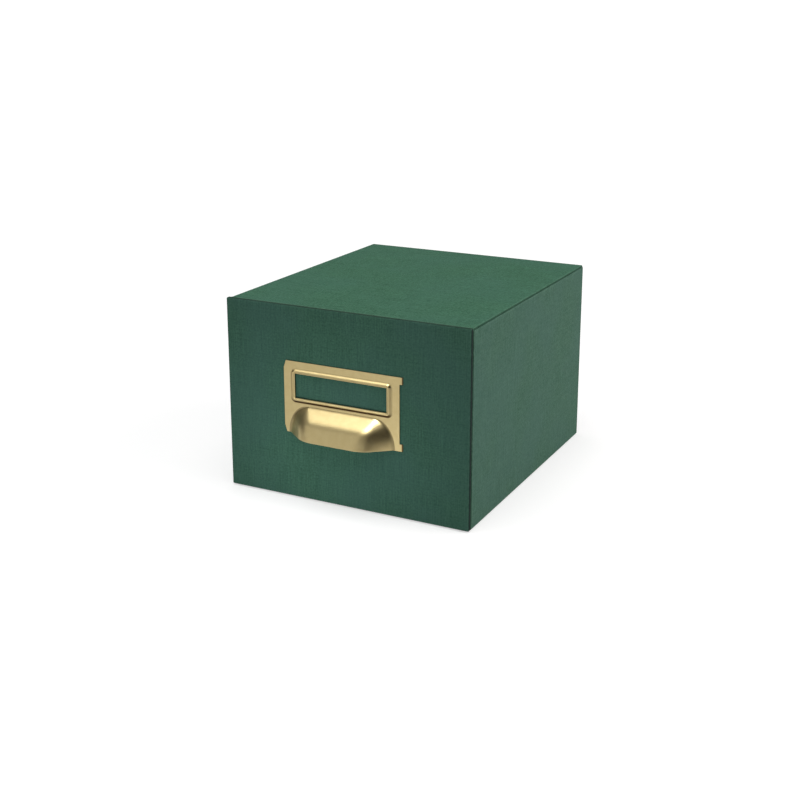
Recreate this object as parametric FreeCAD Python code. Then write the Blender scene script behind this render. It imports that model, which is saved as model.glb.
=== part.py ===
"""Card index drawer: a cloth-covered board case with a pull-out tray and a stamped brass pull.

Millimetres, +Z up. X runs along the front, to the right. The front faces -Y.
The origin is the bottom centre of the whole closed object, cup pull included.
The sizes run from the inside out: the cards set the tray, the tray sets the case,
and the case sets the front panel.
"""
import FreeCAD, Part
import math
import os

from FreeCAD import Vector

# Filed cards and the room round them
CARD_WIDTH = 150.0
CARD_HEIGHT = 100.0
CARD_SIDE_ROOM = 3.3
CARD_HEAD_ROOM = 17.5
FILING_DEPTH = 184.2

# Sheet materials
CASE_BOARD = 2.2
TRAY_BOARD = 2.0
PANEL_BOARD = 1.8
CLOTH = 0.4
WRAP_PAPER = 0.25
LINING_PAPER = 0.2
STAY_PAPER = 0.15
BASE_PAPER = 0.3

# Running clearances of the tray in the case
TRAY_SIDE_CLEARANCE = 0.65
TRAY_FLOOR_CLEARANCE = 0.3
TRAY_BACK_CLEARANCE = 1.5

# Tray walls, turned-over papers and corner tapes
TRAY_WALL_HEIGHT = 93.0
WRAP_TURN_DOWN = 12.0
RUNNER_SET_BACK = 4.0
STAY_LEG = 15.0

# Case covering
CASE_TURN_IN = 12.0
SIDE_CLOTH_SET_DOWN = 1.5
BASE_SHEET_SET_BACK = 3.0
BINDING_TURN_IN = 12.0
TOP_EDGE_ROUND = 0.7
CASE_CORNER_ROUND = 1.1

# Front panel
PANEL_OVERHANG = 0.4
PANEL_STEP = 0.5
PANEL_FLOOR_GAP = 0.8
PANEL_MOUTH_GAP = 1.6
PANEL_TURN_IN = 12.0
PANEL_EDGE_ROUND = 0.8
BACKING_SET_BACK = 4.0

# Pull plate: one stamping with a label frame and a cup
PLATE_HEIGHT = 47.0
PLATE_SHEET = 0.6
PLATE_SIDE_SHIFT = -2.0
PLATE_TOP_DROP = 35.4
LEFT_CORNER_CUT = 1.5
LEFT_CORNER_CUT_HEIGHT = 4.7

# Raised label frame on the plate
FRAME_WIDTH = 70.1
FRAME_HEIGHT = 21.0
FRAME_TOP_MARGIN = 5.1
FRAME_SIDE_MARGIN = 5.65
FRAME_RISE = 1.3
FRAME_CORNER_ROUND = 2.4
FRAME_EDGE_ROUND = 1.2
FRAME_SIDE_BAR = 2.7
FRAME_LEVEL_BAR = 2.5
WINDOW_EDGE_ROUND = 0.4

# Cup pull, open below
CUP_REACH = 13.6
CUP_TOP_BELOW_FRAME = 2.3
CUP_SIDE_MARGIN = 3.5
CUP_TOP_HALF_WIDTH = 23.5
CUP_TOP_DEPTH = 0.35
# The cup's two front corners at the lip: where its front and ends meet, and how far off
# that corner the round starts
CUP_FRONT_HALF_WIDTH = 21.0
CUP_FRONT_CORNER_ROUND = 7.5
# The crease between the cup's sloping top and its steep front, as shares of height and reach
CUP_CREASE_HEIGHT_SHARE = 0.57
CUP_CREASE_REACH_SHARE = 0.8
CUP_CREASE_ROUND_SHARE = 0.07
CUP_SECTIONS = 18

# Ears that fix the plate: bent back through the panel and clinched behind its board
EAR_HEIGHT = 4.5
EAR_REACH = 2.2
EAR_BEND_RADIUS = 1.0
EAR_CLINCH = 6.0
EAR_SLOT_CLEARANCE = 0.1

# One overrun for all cuts, and the distance within which two places are the same
OVERRUN = 1.0
SAME_PLACE = 0.001

# Places worked out from the sizes above, across the object
TRAY_INNER_X = CARD_WIDTH / 2 + CARD_SIDE_ROOM
TRAY_BOARD_X = TRAY_INNER_X + TRAY_BOARD
TRAY_OUTER_X = TRAY_BOARD_X + WRAP_PAPER
MOUTH_X = TRAY_OUTER_X + TRAY_SIDE_CLEARANCE
CASE_INNER_X = MOUTH_X + CLOTH
CASE_BOARD_X = CASE_INNER_X + CASE_BOARD
CASE_EDGE_X = CASE_BOARD_X + CLOTH
CASE_OUTER_X = CASE_EDGE_X + CLOTH
PANEL_X = CASE_OUTER_X + PANEL_OVERHANG
PANEL_BOARD_X = PANEL_X - CLOTH
PANEL_BARE_X = PANEL_BOARD_X - PANEL_TURN_IN

# Heights, from the surface that the object stands on
UNDERSIDE_Z = BASE_PAPER
CASE_BOARD_BOTTOM_Z = UNDERSIDE_Z + CLOTH
CASE_FLOOR_Z = CASE_BOARD_BOTTOM_Z + CASE_BOARD
MOUTH_FLOOR_Z = CASE_FLOOR_Z + CLOTH
TRAY_BOTTOM_Z = MOUTH_FLOOR_Z + TRAY_FLOOR_CLEARANCE
TRAY_BOARD_BOTTOM_Z = TRAY_BOTTOM_Z + LINING_PAPER
TRAY_WALL_BOTTOM_Z = TRAY_BOARD_BOTTOM_Z + TRAY_BOARD
TRAY_FLOOR_Z = TRAY_WALL_BOTTOM_Z + LINING_PAPER
TRAY_WALL_TOP_Z = TRAY_WALL_BOTTOM_Z + TRAY_WALL_HEIGHT
MOUTH_TOP_Z = TRAY_FLOOR_Z + CARD_HEIGHT + CARD_HEAD_ROOM
CASE_CEILING_Z = MOUTH_TOP_Z + CLOTH
CASE_BOARD_TOP_Z = CASE_CEILING_Z + CASE_BOARD
CASE_TOP_Z = CASE_BOARD_TOP_Z + CLOTH
PANEL_BOTTOM_Z = PANEL_FLOOR_GAP
PANEL_TOP_Z = CASE_TOP_Z + PANEL_STEP
PANEL_BOARD_Z = (PANEL_BOTTOM_Z + CLOTH, PANEL_TOP_Z - CLOTH)
PANEL_BARE_Z = (PANEL_BOARD_Z[0] + PANEL_TURN_IN, PANEL_BOARD_Z[1] - PANEL_TURN_IN)

# Depths, from the front face of the panel backwards
PANEL_BOARD_DEPTH = CLOTH + PANEL_BOARD
PANEL_THICKNESS = PANEL_BOARD_DEPTH + CLOTH + LINING_PAPER
MOUTH_DEPTH = PANEL_THICKNESS + PANEL_MOUTH_GAP
TRAY_BACK_DEPTH = PANEL_THICKNESS + TRAY_BOARD + FILING_DEPTH + TRAY_BOARD
CASE_BACK_INNER_DEPTH = TRAY_BACK_DEPTH + WRAP_PAPER + TRAY_BACK_CLEARANCE + LINING_PAPER
CASE_DEPTH = CASE_BACK_INNER_DEPTH + CASE_BOARD + CLOTH + CLOTH

# The same places along Y, with the origin midway from the cup's lip to the back
PANEL_FRONT_Y = CUP_REACH - (CUP_REACH + CASE_DEPTH) / 2
PANEL_BOARD_FRONT_Y = PANEL_FRONT_Y + CLOTH
PANEL_BOARD_BACK_Y = PANEL_FRONT_Y + PANEL_BOARD_DEPTH
PANEL_CLOTH_BACK_Y = PANEL_BOARD_BACK_Y + CLOTH
TRAY_FRONT_Y = PANEL_FRONT_Y + PANEL_THICKNESS
TRAY_INNER_FRONT_Y = TRAY_FRONT_Y + TRAY_BOARD
TRAY_INNER_BACK_Y = TRAY_INNER_FRONT_Y + FILING_DEPTH
TRAY_BACK_Y = TRAY_INNER_BACK_Y + TRAY_BOARD
TRAY_OUTER_BACK_Y = TRAY_BACK_Y + WRAP_PAPER
MOUTH_Y = PANEL_FRONT_Y + MOUTH_DEPTH
CASE_BOARD_FRONT_Y = MOUTH_Y + CLOTH
CASE_INNER_BACK_Y = PANEL_FRONT_Y + CASE_BACK_INNER_DEPTH
CASE_BOARD_BACK_Y = CASE_INNER_BACK_Y + CASE_BOARD
CASE_EDGE_BACK_Y = CASE_BOARD_BACK_Y + CLOTH
CASE_OUTER_BACK_Y = CASE_EDGE_BACK_Y + CLOTH

# The pull plate's widths and its places on the panel
PLATE_WIDTH = FRAME_WIDTH + 2 * FRAME_SIDE_MARGIN
WINDOW_WIDTH = FRAME_WIDTH - 2 * FRAME_SIDE_BAR
CUP_LIP_HALF_WIDTH = PLATE_WIDTH / 2 - CUP_SIDE_MARGIN
PLATE_LEFT_X = PLATE_SIDE_SHIFT - PLATE_WIDTH / 2
PLATE_RIGHT_X = PLATE_SIDE_SHIFT + PLATE_WIDTH / 2
PLATE_TOP_Z = PANEL_TOP_Z - PLATE_TOP_DROP
PLATE_BOTTOM_Z = PLATE_TOP_Z - PLATE_HEIGHT
PLATE_FACE_Y = PANEL_FRONT_Y - PLATE_SHEET
FRAME_FACE_Y = PLATE_FACE_Y - FRAME_RISE
FRAME_TOP_Z = PLATE_TOP_Z - FRAME_TOP_MARGIN
FRAME_BOTTOM_Z = FRAME_TOP_Z - FRAME_HEIGHT
FRAME_MIDDLE_Z = FRAME_TOP_Z - FRAME_HEIGHT / 2
WINDOW_HEIGHT = FRAME_HEIGHT - 2 * FRAME_LEVEL_BAR
CUP_TOP_Z = FRAME_BOTTOM_Z - CUP_TOP_BELOW_FRAME
CUP_HEIGHT = CUP_TOP_Z - PLATE_BOTTOM_Z


def block(x_range, y_range, z_range):
    """Return a box that spans the three (low, high) ranges."""
    (x0, x1), (y0, y1), (z0, z1) = x_range, y_range, z_range
    return Part.makeBox(x1 - x0, y1 - y0, z1 - z0, Vector(x0, y0, z0))


def both(half):
    """Return the range that runs the same distance to each side of the middle."""
    return (-half, half)


def fused(*shapes):
    """Return the shapes joined into one clean solid."""
    return shapes[0].fuse(list(shapes[1:])).removeSplitter()


def rounded(shape, radius, wanted):
    """Fillet the edges of a shape whose middle point passes the test."""
    edges = [edge for edge in shape.Edges if wanted(edge.CenterOfMass)]
    return shape.makeFillet(radius, edges)


def near(value, target):
    """Tell whether two places are the same but for rounding errors."""
    return math.isclose(value, target, abs_tol=SAME_PLACE)


# The case: five boards glued edge to edge


def case_boards():
    """The top and bottom span the full width, and the others stand between them."""
    span_x = both(CASE_BOARD_X)
    span_y = (CASE_BOARD_FRONT_Y, CASE_BOARD_BACK_Y)
    wall_z = (CASE_FLOOR_Z, CASE_CEILING_Z)
    return {
        "case_bottom_board": block(span_x, span_y, (CASE_BOARD_BOTTOM_Z, CASE_FLOOR_Z)),
        "case_top_board": block(span_x, span_y, (CASE_CEILING_Z, CASE_BOARD_TOP_Z)),
        "case_left_board": block((-CASE_BOARD_X, -CASE_INNER_X), span_y, wall_z),
        "case_right_board": block((CASE_INNER_X, CASE_BOARD_X), span_y, wall_z),
        "case_back_board": block(both(CASE_INNER_X), (CASE_INNER_BACK_Y, CASE_BOARD_BACK_Y), wall_z),
    }


def board_envelope():
    """The space that the five case boards take, hollow included, open past the mouth."""
    return block(
        both(CASE_BOARD_X),
        (CASE_BOARD_FRONT_Y - OVERRUN, CASE_BOARD_BACK_Y),
        (CASE_BOARD_BOTTOM_Z, CASE_BOARD_TOP_Z),
    )


def top_cloth_envelope():
    """The outer form of the top's cloth, with the edges where it folds over rounded."""
    form = block(
        both(CASE_EDGE_X),
        (CASE_BOARD_FRONT_Y, CASE_EDGE_BACK_Y),
        (CASE_BOARD_TOP_Z - CASE_TURN_IN, CASE_TOP_Z),
    )

    def folds(middle):
        on_top = near(middle.z, CASE_TOP_Z)
        at_side = near(abs(middle.x), CASE_EDGE_X)
        at_back = near(middle.y, CASE_EDGE_BACK_Y)
        return (on_top and (at_side or at_back)) or (at_side and at_back)

    return rounded(form, TOP_EDGE_ROUND, folds)


def case_top_cloth():
    """Cloth over the top, turned down on the sides and the back."""
    return top_cloth_envelope().cut(board_envelope())


def case_side_cloth():
    """One strip round the left side, back and right side, turned under the bottom.

    It starts a little below the top edge, so the top's turned-down cloth shows as a band.
    """
    form = block(
        both(CASE_OUTER_X),
        (CASE_BOARD_FRONT_Y, CASE_OUTER_BACK_Y),
        (UNDERSIDE_Z, CASE_TOP_Z - SIDE_CLOTH_SET_DOWN),
    )

    def back_corners(middle):
        return near(abs(middle.x), CASE_OUTER_X) and near(middle.y, CASE_OUTER_BACK_Y)

    def under_folds(middle):
        at_side = near(abs(middle.x), CASE_OUTER_X)
        at_back = near(middle.y, CASE_OUTER_BACK_Y)
        return near(middle.z, UNDERSIDE_Z) and (at_side or at_back)

    form = rounded(form, CASE_CORNER_ROUND, back_corners)
    form = rounded(form, TOP_EDGE_ROUND, under_folds)
    bare_bottom = block(
        both(CASE_BOARD_X - CASE_TURN_IN),
        (CASE_BOARD_FRONT_Y - OVERRUN, CASE_BOARD_BACK_Y - CASE_TURN_IN),
        (UNDERSIDE_Z - OVERRUN, CASE_FLOOR_Z),
    )
    return form.cut(board_envelope()).cut(top_cloth_envelope()).cut(bare_bottom)


def case_mouth_binding():
    """Cloth strip over the boards' front edges, turned into the mouth on all four sides."""
    front_leg = block(
        both(CASE_EDGE_X),
        (MOUTH_Y, CASE_BOARD_FRONT_Y),
        (CASE_BOARD_BOTTOM_Z, CASE_TOP_Z),
    )
    inner_leg = block(
        both(CASE_INNER_X),
        (CASE_BOARD_FRONT_Y, CASE_BOARD_FRONT_Y + BINDING_TURN_IN),
        (CASE_FLOOR_Z, CASE_CEILING_Z),
    )
    mouth = block(
        both(MOUTH_X),
        (MOUTH_Y - OVERRUN, CASE_BOARD_FRONT_Y + BINDING_TURN_IN + OVERRUN),
        (MOUTH_FLOOR_Z, MOUTH_TOP_Z),
    )
    return fused(front_leg, inner_leg).cut(mouth)


def case_base_sheet():
    """Paper glued under the case, over the cloth's turned edges, set back all round."""
    low_rim = block(
        both(CASE_OUTER_X - BASE_SHEET_SET_BACK),
        (CASE_BOARD_FRONT_Y + BASE_SHEET_SET_BACK, CASE_OUTER_BACK_Y - BASE_SHEET_SET_BACK),
        (0, UNDERSIDE_Z),
    )
    middle = block(
        both(CASE_BOARD_X - CASE_TURN_IN),
        (CASE_BOARD_FRONT_Y + BASE_SHEET_SET_BACK, CASE_BOARD_BACK_Y - CASE_TURN_IN),
        (UNDERSIDE_Z, CASE_BOARD_BOTTOM_Z),
    )
    return fused(low_rim, middle)


def case_lining():
    """Paper on the four inner walls of the case, behind the mouth binding."""
    span_y = (CASE_BOARD_FRONT_Y + BINDING_TURN_IN, CASE_INNER_BACK_Y)
    outer = block(both(CASE_INNER_X), span_y, (CASE_FLOOR_Z, CASE_CEILING_Z))
    inner = block(
        both(CASE_INNER_X - LINING_PAPER),
        (span_y[0] - OVERRUN, span_y[1] + OVERRUN),
        (CASE_FLOOR_Z + LINING_PAPER, CASE_CEILING_Z - LINING_PAPER),
    )
    return outer.cut(inner)


def case_back_lining():
    """Paper on the inner face of the back board, inside the wall lining."""
    return block(
        both(CASE_INNER_X - LINING_PAPER),
        (CASE_INNER_BACK_Y - LINING_PAPER, CASE_INNER_BACK_Y),
        (CASE_FLOOR_Z + LINING_PAPER, CASE_CEILING_Z - LINING_PAPER),
    )


# The tray: four walls stand on the bottom board


def tray_boards():
    """Bottom board, and walls that stand on it: the ends fit between the two sides."""
    wall_z = (TRAY_WALL_BOTTOM_Z, TRAY_WALL_TOP_Z)
    span_y = (TRAY_FRONT_Y, TRAY_BACK_Y)
    bottom_z = (TRAY_BOARD_BOTTOM_Z, TRAY_WALL_BOTTOM_Z)
    return {
        "tray_bottom_board": block(both(TRAY_BOARD_X), span_y, bottom_z),
        "tray_left_board": block((-TRAY_BOARD_X, -TRAY_INNER_X), span_y, wall_z),
        "tray_right_board": block((TRAY_INNER_X, TRAY_BOARD_X), span_y, wall_z),
        "tray_front_board": block(both(TRAY_INNER_X), (TRAY_FRONT_Y, TRAY_INNER_FRONT_Y), wall_z),
        "tray_back_board": block(both(TRAY_INNER_X), (TRAY_INNER_BACK_Y, TRAY_BACK_Y), wall_z),
    }


def tray_wrap_paper():
    """Paper round the tray's outer sides and back, over the wall tops and down inside."""
    outer = block(
        both(TRAY_OUTER_X),
        (TRAY_FRONT_Y, TRAY_OUTER_BACK_Y),
        (TRAY_BOARD_BOTTOM_Z, TRAY_WALL_TOP_Z + WRAP_PAPER),
    )
    boards = block(
        both(TRAY_BOARD_X),
        (TRAY_FRONT_Y - OVERRUN, TRAY_BACK_Y),
        (TRAY_BOARD_BOTTOM_Z - OVERRUN, TRAY_WALL_TOP_Z),
    )
    turned_z = (TRAY_WALL_TOP_Z - WRAP_TURN_DOWN, TRAY_WALL_TOP_Z + WRAP_PAPER)
    turned = block(both(TRAY_INNER_X), (TRAY_INNER_FRONT_Y, TRAY_INNER_BACK_Y), turned_z)
    well = block(
        both(TRAY_INNER_X - WRAP_PAPER),
        (TRAY_INNER_FRONT_Y + WRAP_PAPER, TRAY_INNER_BACK_Y - WRAP_PAPER),
        (TRAY_BOARD_BOTTOM_Z, TRAY_WALL_TOP_Z + WRAP_PAPER + OVERRUN),
    )
    return fused(outer.cut(boards), turned).cut(well)


def tray_runner_sheet():
    """Smooth paper under the tray, which slides on the floor of the case."""
    return block(
        both(TRAY_BOARD_X - RUNNER_SET_BACK),
        (TRAY_FRONT_Y + RUNNER_SET_BACK, TRAY_BACK_Y - RUNNER_SET_BACK),
        (TRAY_BOTTOM_Z, TRAY_BOARD_BOTTOM_Z),
    )


def tray_floor_liner():
    """Paper on the floor of the tray, where the cards stand."""
    return block(
        both(TRAY_INNER_X),
        (TRAY_INNER_FRONT_Y, TRAY_INNER_BACK_Y),
        (TRAY_WALL_BOTTOM_Z, TRAY_FLOOR_Z),
    )


def tray_corner_stays():
    """Four gummed paper tapes in the tray's upright inner corners."""
    stay_z = (TRAY_FLOOR_Z, TRAY_WALL_TOP_Z - WRAP_TURN_DOWN)
    stays = []
    for side in (-1, 1):
        for corner_y, inward in ((TRAY_INNER_FRONT_Y, 1), (TRAY_INNER_BACK_Y, -1)):
            stays.append(corner_stay(side, corner_y, inward, stay_z))
    return Part.makeCompound(stays)


def corner_stay(side, corner_y, inward, stay_z):
    """One tape: a leg on the side wall and a leg on the end wall."""
    wall_x = side * TRAY_INNER_X
    face_x = wall_x - side * STAY_PAPER
    end_x = wall_x - side * STAY_LEG
    face_y = corner_y + inward * STAY_PAPER
    end_y = corner_y + inward * STAY_LEG
    on_side = block(sorted((wall_x, face_x)), sorted((corner_y, end_y)), stay_z)
    on_end = block(sorted((wall_x, end_x)), sorted((corner_y, face_y)), stay_z)
    return fused(on_side, on_end)


# The front panel: a covered board glued to the tray's front wall


def panel_board_space():
    """The space that the panel's board takes, inside its cloth."""
    y_range = (PANEL_BOARD_FRONT_Y, PANEL_BOARD_BACK_Y)
    return block(both(PANEL_BOARD_X), y_range, PANEL_BOARD_Z)


def without_ears(shape):
    """The shape with the slots and seats of the plate's ears cut out."""
    for hollow in ear_hollows():
        shape = shape.cut(hollow)
    return shape


def panel_board():
    """Board of the front panel."""
    return without_ears(panel_board_space())


def panel_cloth():
    """Cloth over the panel's face and edges, turned in on its back."""
    form = block(
        both(PANEL_X),
        (PANEL_FRONT_Y, PANEL_CLOTH_BACK_Y),
        (PANEL_BOTTOM_Z, PANEL_TOP_Z),
    )

    def outer_edges(middle):
        at_side = near(abs(middle.x), PANEL_X)
        at_end = near(middle.z, PANEL_TOP_Z) or near(middle.z, PANEL_BOTTOM_Z)
        in_front = near(middle.y, PANEL_FRONT_Y)
        return (at_side and at_end) or (in_front and (at_side or at_end))

    form = rounded(form, PANEL_EDGE_ROUND, outer_edges)
    bare_y = (PANEL_BOARD_BACK_Y, PANEL_CLOTH_BACK_Y + OVERRUN)
    bare_back = block(both(PANEL_BARE_X), bare_y, PANEL_BARE_Z)
    return without_ears(form.cut(panel_board_space()).cut(bare_back))


def panel_backing():
    """Paper on the panel's back, over the turned-in cloth, set back all round."""
    over_cloth = block(
        both(PANEL_X - BACKING_SET_BACK),
        (PANEL_CLOTH_BACK_Y, TRAY_FRONT_Y),
        (PANEL_BOTTOM_Z + BACKING_SET_BACK, PANEL_TOP_Z - BACKING_SET_BACK),
    )
    on_board_y = (PANEL_BOARD_BACK_Y, PANEL_CLOTH_BACK_Y)
    return fused(over_cloth, block(both(PANEL_BARE_X), on_board_y, PANEL_BARE_Z))


# The pull plate


def plate_blank():
    """The flat stamping, with its two left corners cut back beside their ears."""
    cut_x = PLATE_LEFT_X + LEFT_CORNER_CUT
    outline = [
        Vector(cut_x, PLATE_FACE_Y, PLATE_BOTTOM_Z),
        Vector(PLATE_RIGHT_X, PLATE_FACE_Y, PLATE_BOTTOM_Z),
        Vector(PLATE_RIGHT_X, PLATE_FACE_Y, PLATE_TOP_Z),
        Vector(cut_x, PLATE_FACE_Y, PLATE_TOP_Z),
        Vector(PLATE_LEFT_X, PLATE_FACE_Y, PLATE_TOP_Z - LEFT_CORNER_CUT_HEIGHT),
        Vector(PLATE_LEFT_X, PLATE_FACE_Y, PLATE_BOTTOM_Z + LEFT_CORNER_CUT_HEIGHT),
    ]
    face = Part.Face(Part.makePolygon(outline + outline[:1]))
    return face.extrude(Vector(0, PLATE_SHEET, 0))


def centred_z(height):
    """The height range of something centred on the label frame."""
    return (FRAME_MIDDLE_Z - height / 2, FRAME_MIDDLE_Z + height / 2)


def centred_x(width):
    """The width range of something centred on the plate."""
    return (PLATE_SIDE_SHIFT - width / 2, PLATE_SIDE_SHIFT + width / 2)


def rounded_slab(width, height, y_range, radius):
    """A slab centred on the label frame, with its four upright corners rounded."""
    form = block(centred_x(width), y_range, centred_z(height))

    def corners(middle):
        side = near(abs(middle.x - PLATE_SIDE_SHIFT), width / 2)
        end = near(abs(middle.z - FRAME_MIDDLE_Z), height / 2)
        return side and end

    return rounded(form, radius, corners)


def label_frame():
    """The raised frame's outer form, rounded at its corners and along its front edge."""
    y_range = (FRAME_FACE_Y, PANEL_FRONT_Y)
    form = rounded_slab(FRAME_WIDTH, FRAME_HEIGHT, y_range, FRAME_CORNER_ROUND)
    return rounded(form, FRAME_EDGE_ROUND, lambda middle: near(middle.y, FRAME_FACE_Y))


def label_pocket():
    """The space behind the raised frame, where a label card slides in, and its window."""
    pocket_face_y = FRAME_FACE_Y + PLATE_SHEET
    pocket = rounded_slab(
        FRAME_WIDTH - 2 * PLATE_SHEET,
        FRAME_HEIGHT - 2 * PLATE_SHEET,
        (pocket_face_y, PANEL_FRONT_Y + OVERRUN),
        FRAME_CORNER_ROUND - PLATE_SHEET,
    )
    inner_round = FRAME_EDGE_ROUND - PLATE_SHEET
    pocket = rounded(pocket, inner_round, lambda middle: near(middle.y, pocket_face_y))
    window = block(
        centred_x(WINDOW_WIDTH),
        (FRAME_FACE_Y - OVERRUN, PANEL_FRONT_Y + OVERRUN),
        centred_z(WINDOW_HEIGHT),
    )
    return fused(pocket, window)


def cup_profile(height_share):
    """How far the cup's front stands out at a share of its height, before scaling.

    Two straight lines meet at the crease, and the lesser of them, rounded off, is taken.
    """
    below_slope = (1 - CUP_CREASE_REACH_SHARE) / CUP_CREASE_HEIGHT_SHARE
    above_slope = CUP_CREASE_REACH_SHARE / (1 - CUP_CREASE_HEIGHT_SHARE)
    front = 1 - below_slope * height_share
    top = above_slope * (1 - height_share)
    return (front + top) / 2 - math.hypot((front - top) / 2, CUP_CREASE_ROUND_SHARE)


def cup_depth(height_share):
    """The depth of the cup at a share of its height: its full reach at the lip."""
    rise = (cup_profile(height_share) - cup_profile(1)) / (cup_profile(0) - cup_profile(1))
    return CUP_TOP_DEPTH + (CUP_REACH - CUP_TOP_DEPTH) * rise


def cup_corner(end, corner, middle, round_length):
    """The rounded front corner of a section, from the slanted end line to the front line."""
    first = corner + (end - corner).normalize() * round_length
    last = corner + (middle - corner).normalize() * round_length
    curve = Part.BezierCurve()
    curve.setPoles([first, corner, last])
    return [Part.makeLine(end, first), curve.toShape()], last


def cup_section(rise, narrowing, behind):
    """One level section of the cup: a straight front, rounded corners and slanted ends.

    rise is the angle that the section has reached on the cup's quarter-ellipse outline,
    from 0 at the lip. narrowing is what is taken off at each end, and behind is how far
    the section runs on past the panel's face.
    """
    height_share = math.sin(rise)
    depth = cup_depth(height_share)
    depth_share = depth / CUP_REACH
    end_room = CUP_LIP_HALF_WIDTH - CUP_TOP_HALF_WIDTH
    half_width = CUP_TOP_HALF_WIDTH + end_room * math.cos(rise) + CUP_TOP_DEPTH - narrowing
    corner_room = CUP_TOP_HALF_WIDTH - CUP_FRONT_HALF_WIDTH
    corner_half = CUP_TOP_HALF_WIDTH - corner_room * depth_share - narrowing
    round_length = CUP_FRONT_CORNER_ROUND * depth_share
    z = PLATE_BOTTOM_Z + CUP_HEIGHT * height_share

    def place(x, y):
        return Vector(PLATE_SIDE_SHIFT + x, PANEL_FRONT_Y + y, z)

    middle = place(0, -depth)
    left_end, right_end = place(-half_width, 0), place(half_width, 0)
    left, left_last = cup_corner(left_end, place(-corner_half, -depth), middle, round_length)
    right, right_last = cup_corner(right_end, place(corner_half, -depth), middle, round_length)
    edges = left + [Part.makeLine(left_last, right_last)] + right[::-1]
    if behind:
        left_back, right_back = place(-half_width, behind), place(half_width, behind)
        edges.append(Part.makeLine(right_end, right_back))
        edges.append(Part.makeLine(right_back, left_back))
        edges.append(Part.makeLine(left_back, left_end))
    else:
        edges.append(Part.makeLine(right_end, left_end))
    return Part.Wire(edges)


def cup_form(narrowing, behind):
    """The cup's closed form: whole for its outside, or narrowed for its inside."""
    step = math.pi / 2 / CUP_SECTIONS
    sections = [
        cup_section(count * step, narrowing, behind) for count in range(CUP_SECTIONS + 1)
    ]
    return Part.makeLoft(sections, True, False)


def cup_hollow():
    """The inside of the cup: one sheet further back, and half a sheet narrower and lower.

    The walls slope, so these steps leave them about one sheet thick everywhere.
    """
    hollow = cup_form(PLATE_SHEET / 2, OVERRUN)
    hollow.translate(Vector(0, PLATE_SHEET, -PLATE_SHEET / 2))
    return hollow


def ear_sides():
    """Each ear as its outer face's X, which way it points and its height range."""
    low = (PLATE_BOTTOM_Z, PLATE_BOTTOM_Z + EAR_HEIGHT)
    high = (PLATE_TOP_Z - EAR_HEIGHT, PLATE_TOP_Z)
    left_x = PLATE_LEFT_X + LEFT_CORNER_CUT
    right_x = PLATE_RIGHT_X + EAR_REACH
    return [(left_x, -1, low), (left_x, -1, high), (right_x, 1, low), (right_x, 1, high)]


def ear(outer_x, side, z_range):
    """An ear: bent back from the plate, through the panel and clinched inwards."""
    inner_x = outer_x - side * PLATE_SHEET
    root_x = outer_x - side * (EAR_REACH + EAR_BEND_RADIUS)
    end_x = outer_x - side * EAR_CLINCH
    root = block(sorted((outer_x, root_x)), (PLATE_FACE_Y, PANEL_FRONT_Y), z_range)
    leg = block(sorted((outer_x, inner_x)), (PLATE_FACE_Y, PANEL_BOARD_BACK_Y), z_range)
    clinch_y = (PANEL_BOARD_BACK_Y - PLATE_SHEET, PANEL_BOARD_BACK_Y)
    clinch = block(sorted((outer_x, end_x)), clinch_y, z_range)

    def bend(middle):
        return near(middle.x, outer_x) and near(middle.y, PLATE_FACE_Y)

    return rounded(fused(root, leg, clinch), EAR_BEND_RADIUS, bend)


def ear_hollows():
    """Slots and seats for the ears, a little larger than what goes in them."""
    hollows = []
    for outer_x, side, (z0, z1) in ear_sides():
        slot_z = (z0 - EAR_SLOT_CLEARANCE, z1 + EAR_SLOT_CLEARANCE)
        outside = outer_x + side * EAR_SLOT_CLEARANCE
        inside = outer_x - side * (PLATE_SHEET + EAR_SLOT_CLEARANCE)
        clinch_end = outer_x - side * (EAR_CLINCH + EAR_SLOT_CLEARANCE)
        slot_y = (PANEL_FRONT_Y - OVERRUN, PANEL_BOARD_BACK_Y)
        seat_y = (PANEL_BOARD_BACK_Y - PLATE_SHEET - EAR_SLOT_CLEARANCE, PANEL_BOARD_BACK_Y)
        slot = block(sorted((outside, inside)), slot_y, slot_z)
        seat = block(sorted((outside, clinch_end)), seat_y, slot_z)
        hollows.append(fused(slot, seat))
    return hollows


def pull_plate():
    """The whole stamping: plate, label frame, cup and ears."""
    plate = fused(plate_blank(), label_frame()).cut(label_pocket())

    def window_edges(middle):
        in_width = abs(middle.x - PLATE_SIDE_SHIFT) < WINDOW_WIDTH / 2 + SAME_PLACE
        in_height = abs(middle.z - FRAME_MIDDLE_Z) < WINDOW_HEIGHT / 2 + SAME_PLACE
        return near(middle.y, FRAME_FACE_Y) and in_width and in_height

    plate = rounded(plate, WINDOW_EDGE_ROUND, window_edges)
    plate = plate.fuse(cup_form(0, 0)).cut(cup_hollow())
    return plate.fuse([ear(*place) for place in ear_sides()]).removeSplitter()


def build():
    """Return every node of the object by name."""
    nodes = dict(case_boards())
    nodes["case_top_cloth"] = case_top_cloth()
    nodes["case_side_cloth"] = case_side_cloth()
    nodes["case_mouth_binding"] = case_mouth_binding()
    nodes["case_base_sheet"] = case_base_sheet()
    nodes["case_lining"] = case_lining()
    nodes["case_back_lining"] = case_back_lining()
    nodes.update(tray_boards())
    nodes["tray_wrap_paper"] = tray_wrap_paper()
    nodes["tray_runner_sheet"] = tray_runner_sheet()
    nodes["tray_floor_liner"] = tray_floor_liner()
    nodes["tray_corner_stays"] = tray_corner_stays()
    nodes["panel_board"] = panel_board()
    nodes["panel_cloth"] = panel_cloth()
    nodes["panel_backing"] = panel_backing()
    nodes["pull_plate"] = pull_plate()
    return nodes


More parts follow.
